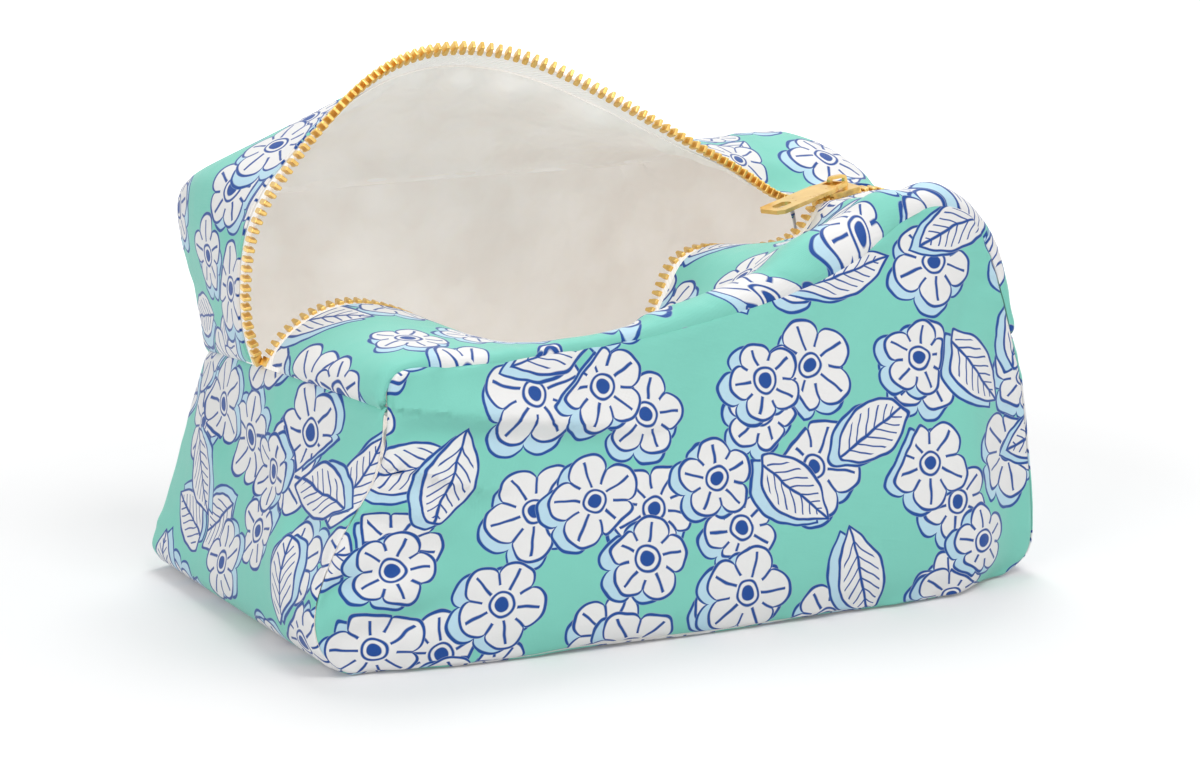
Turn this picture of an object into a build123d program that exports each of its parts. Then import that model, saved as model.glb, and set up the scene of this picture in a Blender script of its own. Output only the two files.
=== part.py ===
from build123d import *
from math import atan2, cos, pi, radians, sin
import os

os.makedirs("parts", exist_ok=True)

# Zip-top box bag, standing open. X runs along the zip, Y from front to back, Z up.
# The origin is on the floor, under the middle of the bag. All sizes are in millimetres.

# Driving sizes of the bag
half_length = 133.4        # middle to the fullest part of an end wall
seam_y = 72.0              # middle to the front and back corner seams
belly = 15.0               # how far the front and back walls swell past those seams
end_height = 83.0          # floor to the seam on top of each end wall
left_sag = 9.0             # how much lower the back of the collapsed left wall ends
back_height = 130.0        # floor to the seam on top of the back wall
front_low = 97.0           # slack left part of the front wall's top seam
front_high = 134.5         # upright right part of that seam
arch_height = 179.6        # highest point of the zip's back row
front_zip_height = 108.3   # the zip's front row beside the slider

# Layers of cloth
cloth = 0.8                # printed outer cloth
padding = 2.0              # foam wadding behind it
lining = 0.5               # satin lining
layer_gap = 0.3            # air between two layers of a wall
seam_gap = 0.6             # air between two pieces that meet in a seam

# Zip
tape = 0.6                 # thickness of the woven tape
tape_width = 13.0
tape_gap = 0.3             # air between the tape and the cloth on either side
zip_clearance = 0.3        # play between the teeth and the slider
tape_play = 0.5            # play around the tape's edge, in a tooth or in the slider
tooth_pitch = 3.15
tooth_tip = 0.9            # how far a tip passes the middle line of the closed zip
tooth_heel = 3.4           # from that middle line to the heel
tooth_length = 1.3         # along the row
tooth_height = 2.8
tape_bite = 1.1            # how deep the tape's edge sits in a tooth
outer_setback = 7.5        # from the middle line to the printed cloth
lining_setback = 8.5       # from the middle line to the lining
stop_length = 3.0
stop_room = 4.6            # from the end of a row to its first tooth

# Slider and puller
slider_x = 96.0            # where the slider rests, with the zip open
slider_z = 122.0
slider_travel = 194.6      # from rest to the left end of its run
slider_drop = 20.0         # how much lower it ends
slider_length = 14.0
mouth_spread = 2.4         # half the distance between the rows where they enter
plate = 1.1
flange = 0.8
post_width = 1.2
post_length = 2.4
bridge_height = 3.4        # clear height under the bridge
bridge_span = 4.8          # clear length under it
bridge_width = 2.0
bridge_bar = 1.1
puller_length = 38.0
puller_width = 11.0
puller_thickness = 1.4
eye_bar = 1.3              # the bar of the puller that turns under the bridge
eye_length = 4.5           # clear length of the eye
eye_width = 5.8            # clear width of the eye
eye_side = 1.4
hang_hole_length = 8.0
hang_hole_width = 4.0
puller_yaw = 21.0          # the puller lies this far towards the front, in degrees
puller_droop = 2.5         # and this far below the slider's own plane


def mix(a, b, share):
    return a + (b - a) * share


def ease(share):
    """A soft step from 0 to 1."""
    share = min(max(share, 0), 1)
    return share * share * (3 - 2 * share)


def shape(values, share):
    """A smooth reading between evenly spaced values."""
    spot = min(max(share, 0), 0.9999) * (len(values) - 1)
    i = int(spot)
    t = spot - i
    a, b, c = values[max(i - 1, 0)], values[i], values[i + 1]
    d = values[min(i + 2, len(values) - 1)]
    return b + 0.5 * t * (c - a + t * (2 * a - 5 * b + 4 * c - d + t * (3 * (b - c) + d - a)))


def trace(line, count=60):
    """Points and directions along a line, evenly spaced by length."""
    return [(line.position_at(i / count), line.tangent_at(i / count)) for i in range(count + 1)]


def read(traced, share):
    """The point and direction at a share of a traced line."""
    spot = min(max(share, 0), 0.9999) * (len(traced) - 1)
    i = int(spot)
    here, there = traced[i], traced[i + 1]
    return mix(here[0], there[0], spot - i), mix(here[1], there[1], spot - i).normalized()


def upright(points):
    """Points of a seam, given as shares of the half length and heights."""
    return [Vector(x * half_length, 0, z) for x, z in points]


def seam_trace(points):
    with BuildLine() as path:
        Spline(*points)
    return trace(path.edges()[0])


# Seams, as shares of the half length and heights. Each end wall is read at three places,
# its front edge (-1), its middle (0) and its back edge (1), from its top to the base.
base_flat = 0.89
end_levels = (1, 0.78, 0.58, 0.38, 0.20, 0.09, 0)
left_end = {
    -1: (0.801, 0.823, 0.900, 0.966, 0.989, 0.964, base_flat),
    0: (0.887, 0.911, 0.939, 0.969, 0.990, 0.984, base_flat),
    1: (0.829, 0.873, 0.909, 0.945, 0.984, 1.000, base_flat),
}
right_end = {
    -1: (0.915, 0.952, 0.971, 0.988, 0.996, 0.986, base_flat),
    0: (0.956, 0.982, 0.995, 1.000, 0.998, 0.986, base_flat),
    1: (0.930, 0.963, 0.978, 0.990, 0.994, 0.982, base_flat),
}
left_top = {-1: end_height, 0: end_height, 1: end_height - left_sag}
right_top = {-1: end_height + 1, 0: end_height + 2, 1: end_height + 1}


def end_points(side, station):
    """Points down an end wall, from its top to where the base lies flat."""
    shares, tops = (left_end, left_top) if side < 0 else (right_end, right_top)
    pairs = zip(shares[station], end_levels)
    return upright([(side * x, level * tops[station]) for x, level in pairs])


# Top seams of the front and back walls, and the parts of them that climb over the ends
front_left_rise = upright([(-0.800, mix(end_height, front_low, 0.55))])
front_left_corner = upright([(-0.776, front_low - 0.7)])
front_top = upright([
    (x, mix(front_low, front_high, k)) for x, k in (
        (-0.663, 0), (-0.461, -0.02), (-0.254, 0.01), (-0.148, 0.075), (0.012, 0.216),
        (0.175, 0.336), (0.340, 0.517), (0.452, 0.728), (0.536, 0.88), (0.651, 0.96),
        (0.722, 0.99))
])
front_right_corner = upright([(0.772, front_high - 3)])
front_right_rise = upright([
    (x, mix(end_height, front_high, k)) for x, k in ((0.884, 0.33), (0.840, 0.64), (0.798, 0.87))
])
back_left_rise = upright([
    (x, mix(end_height, back_height, k)) for x, k in ((-0.837, 0.11), (-0.859, 0.4), (-0.885, 0.74))
])
back_left_corner = upright([(-0.876, back_height - 1)])
back_top = upright([(x, back_height + z) for x, z in (
    (-0.8, 0.5), (-0.4, 0), (0, 0), (0.4, 0), (0.72, 0.5))])
back_right_corner = upright([(0.782, back_height - 1)])
back_right_rise = upright([
    (x, mix(end_height, back_height, k)) for x, k in ((0.915, 0.28), (0.885, 0.57), (0.84, 0.85))
])

# How the front and back walls swell: along the bag, and from the floor to the top seam
swell_along = (0, 0.33, 0.57, 0.76, 0.89, 0.96, 1, 1, 1, 0.80, 0)
swell_up = (0.86, 1.0, 1.0, 0.95, 0.86, 0.75, 0.62, 0.48, 0.33, 0.17, 0)
wall_rim = tape / 2 + tape_gap + cloth + layer_gap + 0.2
strip_half = seam_y + belly


wall_cuts = 20             # cuts along each wall


def seam_loop(side):
    """The seams up the left end, along the top and up the right end of a wall."""
    if side < 0:
        rises, top, corners = (front_left_rise, front_right_rise), front_top, (
            front_left_corner, front_right_corner)
    else:
        rises, top, corners = (back_left_rise, back_right_rise), back_top, (
            back_left_corner, back_right_corner)
    up_left = end_points(-1, side)[::-1] + rises[0] + corners[0]
    up_right = end_points(1, side)[::-1] + rises[1] + corners[1]
    return up_left, corners[0] + top + corners[1], up_right


def held_back(seam, back, turn):
    """Points along a seam, moved `back` into the wall."""
    with BuildLine(mode=Mode.PRIVATE) as path:
        Spline(*seam)
    edge = path.edges()[0]
    points = []
    for i in range(17):
        share = mix(back / edge.length, 1 - back / edge.length, i / 16)
        way = edge.tangent_at(share)
        spot = edge.position_at(share) + Vector(way.Z, 0, -way.X) * turn * back
        points.append(Vector(spot.X, spot.Z))
    return points


def wall_section(side, x, depth, tops):
    """Points up a wall at one place along it, moved `depth` into the bag."""
    along = (x / half_length + 1) / 2
    top = min(tops, key=lambda point: abs(point.X - x)).Z
    points = []
    for i in range(11):
        up = (i / 10) ** 1.3
        swell = belly * shape(swell_along, along) * shape(swell_up, up)
        points.append(Vector(side * (seam_y + swell), mix(0, top, up)))
    points.append(Vector(side * seam_y, front_high + 5))
    moved = []
    for i, point in enumerate(points):
        way = (points[min(i + 1, 11)] - points[max(i - 1, 0)]).normalized()
        moved.append(point + Vector(-way.Y, way.X) * side * depth)
    return moved


def wall_layer(side, depth, thickness):
    """One layer of a wall: a loft along the bag, trimmed to the seams round it."""
    up_left, top_line, up_right = seam_loop(side)
    with BuildLine(mode=Mode.PRIVATE) as top_path:
        Spline(*top_line)
    tops = [top_path.edges()[0].position_at(i / 80) for i in range(81)]
    with BuildPart() as layer:
        for cut in range(wall_cuts + 1):
            x = half_length * (2 * cut / wall_cuts - 1)
            with BuildSketch(Plane.YZ.offset(x)):
                with BuildLine():
                    outer = wall_section(side, x, depth, tops)
                    inner = wall_section(side, x, depth + thickness, tops)
                    Spline(*outer)
                    Spline(*inner)
                    Line(outer[0], inner[0])
                    Line(outer[-1], inner[-1])
                make_face()
        loft(ruled=True)
        back = wall_rim + (depth + thickness - cloth) * 1.1
        left, right = held_back(up_left, back, 1), held_back(up_right, back, -1)
        upper = held_back(top_line, back, 1)
        upper[0], upper[-1] = mix(upper[0], left[-1], 0.5), mix(upper[-1], right[-1], 0.5)
        with BuildSketch(Plane.XZ):
            with BuildLine():
                Line(left[0], right[0])
                Spline(*left[:-1], upper[0])
                Spline(*right[:-1], upper[-1])
                Spline(*upper)
            make_face()
        extrude(amount=2 * strip_half, both=True, mode=Mode.INTERSECT)
    return layer


# The gusset strip, one piece of cloth round both ends and under the base: two lofted end
# walls that run into the flat base, trimmed to the strip's outline seen from above


def end_run(side, y, depth):
    """Points down an end wall and onto the base, moved `depth` into the bag."""
    share = y / seam_y
    front, middle, back = (end_points(side, station) for station in (-1, 0, 1))
    points = [
        m + (b - f) * (share / 2) + ((b + f) * 0.5 - m) * share**2
        for f, m, b in zip(front, middle, back)
    ]
    moved = []
    for i, point in enumerate(points[:-1]):
        way = (points[i + 1] - points[max(i - 1, 0)]).normalized()
        moved.append(point + Vector(way.Z, 0, -way.X) * side * depth)
    moved[0] += (points[1] - points[0]).normalized() * (seam_gap + wall_rim + depth * 0.5)
    return [Vector(p.X, p.Z) for p in moved + [points[-1] + Vector(0, 0, depth)]]


def gusset_layer(depth, thickness):
    """Deeper layers stop further from the corner seams, clear of the walls' layers."""
    edge = seam_gap
    if depth > 0:
        edge += 2 * (cloth + padding + lining)
    with BuildPart() as layer:
        for side in (-1, 1):
            for share in (-1, -0.5, 0, 0.5, 1):
                with BuildSketch(Plane.XZ.offset(-share * strip_half)):
                    with BuildLine():
                        outer = end_run(side, share * strip_half, depth)
                        inner = end_run(side, share * strip_half, depth + thickness)
                        for run in (outer, inner):
                            Spline(*run, tangents=[run[1] - run[0], (-side, 0)])
                        Line(outer[0], inner[0])
                        Line(outer[-1], inner[-1])
                    make_face()
            loft()
        with Locations((0, 0, depth + thickness / 2)):
            Box(2 * base_flat * half_length, 2 * strip_half, thickness)
        with BuildSketch() as plan:
            with BuildLine():
                for side in (-1, 1):
                    xs = [half_length * 1.01 * (i / 5 - 1) for i in range(11)]
                    ys = [seam_y + belly * swell_up[0] * swell - edge for swell in swell_along]
                    Spline(*[(x, side * y) for x, y in zip(xs, ys)])
                for x in (xs[0], xs[-1]):
                    Line((x, edge - seam_y), (x, seam_y - edge))
            make_face()
        extrude(amount=arch_height, mode=Mode.INTERSECT)
    return layer


# Zip rows. Both run from the left seam to the right seam, apart while the zip is open,
# together from the slider to the right end.
slider_tilt = slider_drop / (slider_travel**2 - slider_drop**2) ** 0.5
slide_way = Vector(1, 0, slider_tilt).normalized()
slider_at = Vector(slider_x, 0, slider_z)
row_start = upright([(-0.887, end_height)])
row_end = upright([(0.956, end_height + 2)])
closed_row = upright([
    (0.826, slider_z + 0.8), (0.884, slider_z - 2), (0.928, slider_z - 10),
    (0.950, mix(end_height + 2, slider_z, 0.4))])


def row_points(side, open_points):
    mouth = slider_at - slide_way * (slider_length / 2) + Vector(0, side * mouth_spread, 0)
    ahead = mouth - slide_way * 5 + Vector(0, side * 1.6, 0)
    tail = slider_at + slide_way * (slider_length / 2)
    points = [Vector(x * half_length, y, z) for x, y, z in open_points]
    return row_start + points + [ahead, mouth, tail] + closed_row + row_end


def arch(k):
    return mix(end_height, arch_height, k)


def front_zip(k):
    return mix(end_height, front_zip_height, k)


back_row = row_points(1, [
    (-0.917, -0.5, arch(0.13)), (-0.925, -2, arch(0.302)), (-0.901, -2.7, arch(0.473)),
    (-0.830, -2.7, arch(0.63)), (-0.698, 0.3, arch(0.813)), (-0.501, 12.3, arch(0.958)),
    (-0.320, 18.5, arch(1)), (-0.166, 15.9, arch(0.974)), (0.043, 5.2, arch(0.84)),
    (0.271, -1.5, arch(0.647)), (0.470, 0.5, arch(0.487))])
front_row = row_points(-1, [
    (-0.844, 0, front_zip(0.33)), (-0.747, 0, front_zip(0.66)), (-0.669, 0, front_zip(0.735)),
    (-0.590, 0, front_zip(0.66)), (-0.460, -0.5, front_zip(0.33)),
    (-0.330, -9, front_zip(-0.45)), (-0.150, -20, front_zip(-1.1)),
    (0.030, -12, front_zip(-0.65)), (0.135, -3, front_zip(0.02)), (0.190, -0.5, front_zip(0.52)),
    (0.228, 0, front_zip(0.85)), (0.304, 0, front_zip(1)), (0.400, -1, front_zip(0.97)),
    (0.490, -3, front_zip(1.01)), (0.556, -4.2, front_zip(1.15)), (0.598, -4.4, front_zip(1.36))])


def row_line(points):
    with BuildLine() as path:
        Spline(*points)
    return path.edges()[0]


row_lines = {1: row_line(back_row), -1: row_line(front_row)}
row_traces = {side: trace(line, 200) for side, line in row_lines.items()}
rims = {
    -1: seam_trace(end_points(-1, -1)[:1] + front_left_rise + front_left_corner + front_top
                   + front_right_corner + front_right_rise[::-1] + end_points(1, -1)[:1]),
    1: seam_trace(end_points(-1, 1)[:1] + back_left_rise + back_left_corner + back_top
                  + back_right_corner + back_right_rise[::-1] + end_points(1, 1)[:1]),
}

# How far the two halves of the zip top puff up between the zip and the wall
crown_along = {
    1: (0, 2, 7, 7, 4, 2, 2, 5, 9, 9, 0),
    -1: (0, 1, 1, 0, 0, 3, 7, 9, 10, 7, 0),
}
crown_reach = {1: 1.4, -1: 2.2}
tape_flat = 6.0            # the tape stays straight this far from the zip's middle
stations = 48              # cuts across the zip top, closer together towards the slider


def cross_section(side, u):
    """The cut across the zip top at a share of the zip: a plane, its reach and its lean."""
    start, way = read(row_traces[side], u)
    out = Vector(0, side, 0)
    chord = read(rims[side], u)[0] + out * seam_y - start
    reach = chord.length
    chord = chord.normalized()
    up = (way.cross(chord) * side).normalized()
    lean = mix(chord, out, ease((u - 0.66) / 0.09))
    lean = atan2(lean.dot(up), lean.dot(chord))
    return Plane(origin=start, x_dir=chord, z_dir=chord.cross(up)), reach, lean


def top_profile(side, u, distance, reach, lean):
    """A point of the tape's middle line, in a cut: straight at first, then puffed up."""
    share = min(distance / reach, 1)
    puff = shape(crown_along[side], u) * sin(pi * share ** crown_reach[side])
    near = Vector(cos(lean), sin(lean), 0) * distance
    return mix(near, Vector(distance, puff, 0), ease((distance - tape_flat) / 18))


def top_layer(side, depth, thickness, first, last, count):
    """A strip of the zip top between two distances from the zip's middle line."""
    with BuildPart() as layer:
        for station in range(stations + 1):
            along = station / stations
            u = mix(seam_gap / 290, 1 - seam_gap / 290, along * (1.2 - 0.2 * along))
            plane, reach, lean = cross_section(side, u)
            end = last if last else reach - seam_gap
            upper, lower = [], []
            for i in range(count):
                distance = mix(first, end, (i / (count - 1)) ** 1.4)
                spot = top_profile(side, u, distance, reach, lean)
                way = top_profile(side, u, distance + 0.5, reach, lean) - spot
                normal = Vector(-way.Y, way.X, 0).normalized()
                upper.append(spot - normal * depth)
                lower.append(spot - normal * (depth + thickness))
            with BuildSketch(plane):
                with BuildLine():
                    Spline(*upper)
                    Line(upper[-1], lower[-1])
                    Spline(*lower[::-1])
                    Line(lower[0], upper[0])
                make_face()
        loft(ruled=True)
    return layer


def row_plane(side, from_right):
    """Teeth stand on this plane: x away from the zip's middle, z along the row."""
    share = 1 - from_right / row_lines[side].length
    plane, reach, lean = cross_section(side, share)
    way = read(row_traces[side], share)[1]
    near = plane.x_dir * cos(lean) + plane.y_dir * sin(lean)
    near = near - way * near.dot(way)
    return Plane(origin=plane.origin, x_dir=near, z_dir=way)


def clasp(thickness, tip):
    """A C-shaped piece with a slot that the tape's edge enters."""
    slot = tape / 2 + tape_play
    floor = tooth_heel - tape_bite - tape_play
    top = tooth_height / 2
    with BuildPart() as piece:
        with BuildSketch():
            with BuildLine():
                Polyline(
                    (-tip, -top), (tooth_heel, -top), (tooth_heel, -slot), (floor, -slot),
                    (floor, slot), (tooth_heel, slot), (tooth_heel, top), (-tip, top), close=True)
            make_face()
        extrude(amount=thickness / 2, both=True)
    return piece.part


tooth = clasp(tooth_length, tooth_tip)
top_stop = clasp(stop_length, -0.4)


def teeth_row(side):
    """Tooth places counted from the right end, one row half a pitch behind the other."""
    shift = tooth_pitch / 2 if side < 0 else 0
    room = row_lines[side].length - 2 * stop_room - shift
    count = int(room / tooth_pitch) + 1
    return [row_plane(side, stop_room + shift + i * tooth_pitch) for i in range(count)]


front_panel = wall_layer(-1, 0, cloth)
back_panel = wall_layer(1, 0, cloth)
gusset = gusset_layer(0, cloth)

padding_depth = cloth + layer_gap
lining_depth = padding_depth + padding + layer_gap
front_padding = wall_layer(-1, padding_depth, padding)
back_padding = wall_layer(1, padding_depth, padding)
gusset_padding = gusset_layer(padding_depth, padding)
front_lining = wall_layer(-1, lining_depth, lining)
back_lining = wall_layer(1, lining_depth, lining)
gusset_lining = gusset_layer(lining_depth, lining)

# The zip top: printed cloth above the tape, lining below it
cloth_depth = -(tape / 2 + tape_gap + cloth)
under_depth = tape / 2 + tape_gap
tape_edge = tooth_heel - tape_bite
top_front_panel = top_layer(-1, cloth_depth, cloth, outer_setback, 0, 12)
top_back_panel = top_layer(1, cloth_depth, cloth, outer_setback, 0, 12)
top_front_lining = top_layer(-1, under_depth, lining, lining_setback, 0, 12)
top_back_lining = top_layer(1, under_depth, lining, lining_setback, 0, 12)
front_tape = top_layer(-1, -tape / 2, tape, tape_edge, tape_width, 5)
back_tape = top_layer(1, -tape / 2, tape, tape_edge, tape_width, 5)

# Meshing metal teeth, each clamped on the edge of its tape
with BuildPart() as front_teeth:
    with Locations(*teeth_row(-1)):
        add(tooth)
with BuildPart() as back_teeth:
    with Locations(*teeth_row(1)):
        add(tooth)

# Stops: one on each row at the left, one across both rows at the right
stop_at = stop_length / 2 + seam_gap
with BuildPart() as top_stops:
    for side in (-1, 1):
        with Locations(row_plane(side, row_lines[side].length - stop_at)):
            add(top_stop)
with BuildPart() as bottom_stop:
    with BuildSketch(row_plane(1, stop_at)):
        Rectangle(2 * tooth_heel, tooth_height)
        with Locations((-tooth_heel, 0), (tooth_heel, 0)):
            Rectangle(2 * (tape_bite + tape_play), tape + 3 * tape_play, mode=Mode.SUBTRACT)
    extrude(amount=stop_length / 2, both=True)

# Slider: two plates joined by a post between the rows, flanges round the outside of them,
# and a bridge on top for the puller
slider_plane = Plane(origin=slider_at, x_dir=slide_way, z_dir=Vector(-slide_way.Z, 0, slide_way.X))
inside = tooth_height / 2 + zip_clearance
tail_half = tooth_heel + zip_clearance + flange
mouth_half = tail_half + mouth_spread
slit = tape / 2 + tape_play
with BuildPart() as slider_body:
    for level in (-inside - plate, inside):
        with BuildSketch(slider_plane.offset(level)) as outline:
            with BuildLine():
                Polyline(
                    (-slider_length / 2, -mouth_half), (slider_length / 2, -tail_half),
                    (slider_length / 2, tail_half), (-slider_length / 2, mouth_half), close=True)
            make_face()
            fillet(outline.vertices(), 1.5)
        extrude(amount=plate)
    for level in (-inside, slit):
        with BuildSketch(slider_plane.offset(level)):
            for side in (-1, 1):
                with BuildLine():
                    Polyline(
                        (-slider_length / 2 + 1.5, side * (mouth_half - 0.25)),
                        (slider_length / 2 - 1.5, side * (tail_half + 0.25)),
                        (slider_length / 2 - 1.5, side * (tail_half + 0.25 - flange)),
                        (-slider_length / 2 + 1.5, side * (mouth_half - 0.25 - flange)), close=True)
                make_face()
        extrude(amount=inside - slit)
    with BuildSketch(slider_plane.offset(-inside)):
        with Locations((-(slider_length - post_length) / 2 + 0.3, 0)):
            SlotOverall(post_length, post_width)
    extrude(amount=2 * inside)
    with BuildSketch(Plane(slider_plane.origin, x_dir=slider_plane.x_dir,
                           z_dir=-slider_plane.y_dir)) as bridge:
        with Locations((0, inside + plate + (bridge_height + bridge_bar) / 2)):
            Rectangle(bridge_span + 2 * bridge_bar, bridge_height + bridge_bar)
            fillet(bridge.vertices().group_by(Axis.Y)[-1], 1.6)
        with Locations((0, inside + plate + bridge_height / 2)):
            Rectangle(bridge_span, bridge_height, mode=Mode.SUBTRACT)
    extrude(amount=bridge_width / 2, both=True)

# Puller, hung under the bridge by its eye and lying over the open mouth
yaw, droop = radians(puller_yaw), radians(puller_droop)
ahead_way = slide_way * -cos(yaw) - Vector(0, 1, 0) * sin(yaw)
puller_way = ahead_way * cos(droop) - slider_plane.z_dir * sin(droop)
puller_turn = Vector(0, 1, 0) * cos(yaw) - slide_way * sin(yaw)
pivot = slider_plane.origin + slider_plane.z_dir * (inside + plate + bridge_height / 2)
eye_half = eye_width / 2 + eye_side
eye_end = eye_bar / 2 + eye_length
with BuildPart() as puller:
    with BuildSketch(Plane(origin=pivot, x_dir=puller_way, z_dir=puller_way.cross(puller_turn))):
        with BuildLine():
            Polyline(
                (-eye_bar / 2, -eye_half), (-eye_bar / 2, eye_half), (eye_end, eye_half),
                (eye_end + 3, puller_width / 2), (puller_length - 2, puller_width / 2),
                (puller_length, puller_width / 2 - 2), (puller_length, 2 - puller_width / 2),
                (puller_length - 2, -puller_width / 2), (eye_end + 3, -puller_width / 2),
                (eye_end, -eye_half), close=True)
        make_face()
        with Locations((eye_bar / 2 + eye_length / 2, 0)):
            Rectangle(eye_length, eye_width, mode=Mode.SUBTRACT)
        with Locations((puller_length - 3 - hang_hole_length / 2, 0)):
            SlotOverall(hang_hole_length, hang_hole_width, mode=Mode.SUBTRACT)
    extrude(amount=puller_thickness / 2, both=True)

pieces = {
    "front_panel": front_panel, "back_panel": back_panel, "gusset": gusset,
    "front_padding": front_padding, "back_padding": back_padding,
    "gusset_padding": gusset_padding, "front_lining": front_lining,
    "back_lining": back_lining, "gusset_lining": gusset_lining,
    "top_front_panel": top_front_panel, "top_back_panel": top_back_panel,
    "top_front_lining": top_front_lining, "top_back_lining": top_back_lining,
    "front_tape": front_tape, "back_tape": back_tape,
    "front_teeth": front_teeth, "back_teeth": back_teeth,
    "top_stops": top_stops, "bottom_stop": bottom_stop,
    "slider_body": slider_body, "puller": puller,
}
for label, piece in pieces.items():
    piece.part.label = label
    export_step(piece.part, f"parts/{label}.step")
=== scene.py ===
import bpy
import math
import numpy as np
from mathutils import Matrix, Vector


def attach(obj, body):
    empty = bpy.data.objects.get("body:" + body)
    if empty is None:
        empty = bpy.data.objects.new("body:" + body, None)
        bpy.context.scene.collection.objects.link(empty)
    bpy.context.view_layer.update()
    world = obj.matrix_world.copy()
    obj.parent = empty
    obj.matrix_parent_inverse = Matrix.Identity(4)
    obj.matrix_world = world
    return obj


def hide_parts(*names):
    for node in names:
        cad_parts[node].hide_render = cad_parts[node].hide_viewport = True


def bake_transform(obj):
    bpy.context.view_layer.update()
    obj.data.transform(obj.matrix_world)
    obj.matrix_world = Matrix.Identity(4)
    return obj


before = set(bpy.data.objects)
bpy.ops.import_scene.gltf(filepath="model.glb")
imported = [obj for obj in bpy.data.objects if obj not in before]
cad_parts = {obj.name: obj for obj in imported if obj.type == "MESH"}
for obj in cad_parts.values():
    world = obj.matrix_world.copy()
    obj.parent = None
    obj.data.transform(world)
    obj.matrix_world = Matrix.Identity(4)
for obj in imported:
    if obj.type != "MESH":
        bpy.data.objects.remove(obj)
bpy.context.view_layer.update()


# Stage: a flat floor of white paper under soft studio light, and the camera at the
# photograph's height and angle. The paper glows more with distance, so that it fades
# into the white background and still holds the bag's soft shadow.
def colour(code):
    """The linear colour of an sRGB hex code."""
    parts = [int(code[i:i + 2], 16) / 255 for i in (1, 3, 5)]
    return [c / 12.92 if c <= 0.04045 else ((c + 0.055) / 1.055) ** 2.4 for c in parts] + [1]


def add(tree, kind, inputs=(), **settings):
    """Adds a node with its settings, values and links. Inputs are named or given in order,
    and a node among them links by its first output."""
    made = tree.nodes.new(kind)
    for name, value in settings.items():
        setattr(made, name, value)
    given = inputs if isinstance(inputs, dict) else dict(enumerate(inputs))
    for key, value in given.items():
        if isinstance(value, bpy.types.Node):
            value = value.outputs[0]
        if isinstance(value, bpy.types.NodeSocket):
            tree.links.new(value, made.inputs[key])
        else:
            made.inputs[key].default_value = value
    return made


def new_material(name):
    made = bpy.data.materials.new(name)
    made.use_nodes = True
    made.node_tree.nodes.clear()
    return made, made.node_tree


def finish_material(tree, shader):
    add(tree, "ShaderNodeOutputMaterial", {"Surface": shader})


def looked_at(tree):
    """1 where the stage is looked at, straight or in a gloss, and 0 where it only lights."""
    path = add(tree, "ShaderNodeLightPath").outputs
    return add(tree, maths, (path["Is Camera Ray"], path["Is Glossy Ray"]), operation="MAXIMUM")


maths = "ShaderNodeMath"
glow_starts, glow_full = 0.25, 1.1     # metres from the bag's middle
glow_near, glow_far = 0.12, 0.7
floor_white, tree = new_material("white_paper_floor")
spot = add(tree, "ShaderNodeTexCoord").outputs["Object"]
away = add(tree, "ShaderNodeVectorMath", (spot,), operation="LENGTH").outputs["Value"]
fade = add(tree, "ShaderNodeMapRange", (away, glow_starts, glow_full, glow_near, glow_far))
lift = add(tree, maths, (looked_at(tree), fade), operation="MULTIPLY")
glow = add(tree, "ShaderNodeEmission", {"Color": (1, 1, 1, 1), "Strength": lift})
paper = add(tree, "ShaderNodeBsdfDiffuse", {"Color": (0.78, 0.78, 0.78, 1)})
finish_material(tree, add(tree, "ShaderNodeAddShader", (glow, paper)))
bpy.ops.mesh.primitive_plane_add(size=12, location=(0, 0, 0))
floor = bpy.context.object
floor.name = "studio_floor"
floor.data.materials.append(floor_white)

world_lights, world_shows = 0.52, 1.0
world = bpy.data.worlds.new("studio")
world.use_nodes = True
tree = world.node_tree
tree.nodes.clear()
level = add(tree, "ShaderNodeMapRange", {0: looked_at(tree), 3: world_lights, 4: world_shows})
sky = add(tree, "ShaderNodeBackground", {"Color": (1, 1, 1, 1), "Strength": level})
add(tree, "ShaderNodeOutputWorld", {"Surface": sky})
bpy.context.scene.world = world
lit_point = Vector((0, 0, 0.08))
for name, place, power, size in (("key", (0.1, -1.0, 1.5), 8, 0.6),
                                 ("fill", (1.2, -0.9, 0.8), 2, 1.2),
                                 ("low", (-1.3, -0.7, 0.8), 6.5, 0.8),
                                 ("top", (0.35, 0.6, 1.6), 11, 0.7)):
    lamp = bpy.data.lights.new(name, "AREA")
    lamp.energy = power
    lamp.size = size
    holder = bpy.data.objects.new(name, lamp)
    holder.location = place
    holder.rotation_euler = (lit_point - Vector(place)).to_track_quat("-Z", "Y").to_euler()
    bpy.context.collection.objects.link(holder)

lens = bpy.data.cameras.new("camera")
lens.lens = 96
lens.sensor_width = 36
camera = bpy.data.objects.new("camera", lens)
camera.location = (-0.4786, -0.9369, 0.3058)
aim = Vector((0.00317, 0, 0.06253)) - camera.location
camera.rotation_euler = aim.to_track_quat("-Z", "Y").to_euler()
bpy.context.collection.objects.link(camera)
bpy.context.scene.camera = camera
bpy.context.scene.view_settings.view_transform = "Standard"


# Printed cloth: smooth polyester with a soft sheen, printed with blossoms up to 35 mm
# across and leaves up to 36 mm long. They are white with a pale blue side, inked in navy
# on aqua. The print and its lines are in millimetres.
motif_spacing = 37.0
smallest_blossom, blossom_spread = 12.5, 4.5
petals, petal_sharpness = 5, 0.6
petal_dip, petal_bulge = 0.70, 0.34
leaf_half_length, leaf_half_width = 18.0, 9.2
leaf_share = 0.30
motif_gap, gap_rounding = 1.6, 1.5
outline_inset, outline_half = 0.5, 0.62
vein_inset = 2.4
ring_radius, ring_half = 3.9, 0.45
dot_radius = 2.4
ray_start, ray_half = 5.0, 0.48
petal_line_start, petal_line_half = 6.4, 0.46
petal_line_taper = 0.4
rib_half = 0.5
leaf_vein_slant, leaf_vein_spacing, leaf_vein_half = -1.1, 2.0, 0.4

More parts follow.
